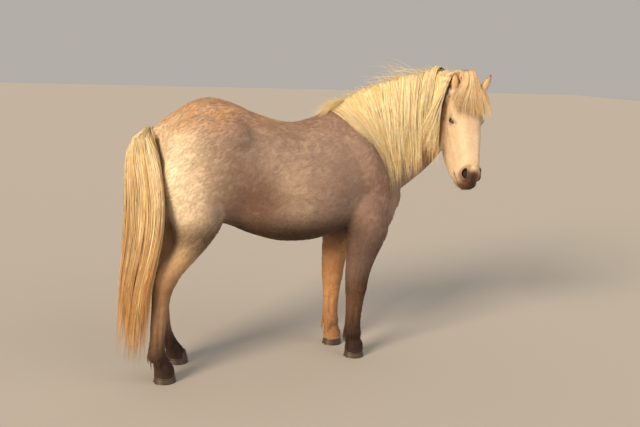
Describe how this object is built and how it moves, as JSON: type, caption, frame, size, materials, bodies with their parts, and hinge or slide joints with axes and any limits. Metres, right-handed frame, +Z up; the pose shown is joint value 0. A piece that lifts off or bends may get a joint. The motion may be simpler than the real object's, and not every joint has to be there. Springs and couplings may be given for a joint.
{
  "type": "icelandic horse",
  "caption": "Icelandic horse standing square with its head turned to its right, long mane, forelock and tail, solid still model.",
  "frame": {"origin": "on the floor under the middle of the animal's box", "axes": "+X the way the body faces, +Y to the horse's left, +Z up; the head is turned towards -Y"},
  "size_m": [1.9034, 0.7994, 1.6035],
  "materials": {
    "coat_body": "short dense dappled hair",
    "coat_head": "short pale hair",
    "coat_leg": "short darker hair",
    "mane": "long straight cream hair",
    "tail_hair": "long straight hair, darker at the tips",
    "hoof": "dark horn",
    "eye": "wet dark brown"
  },
  "bodies": {
    "root": {"torso": "coat_body", "neck": "mane", "head": "coat_head", "ear_right": "coat_head", "ear_left": "coat_head", "eye_right": "eye", "eye_left": "eye", "foreleg_right": "coat_leg", "foreleg_left": "coat_leg", "hindleg_right": "coat_leg", "hindleg_left": "coat_leg", "hoof_fore_right": "hoof", "hoof_fore_left": "hoof", "hoof_hind_right": "hoof", "hoof_hind_left": "hoof", "tail": "tail_hair"}
  },
  "joints": []
}
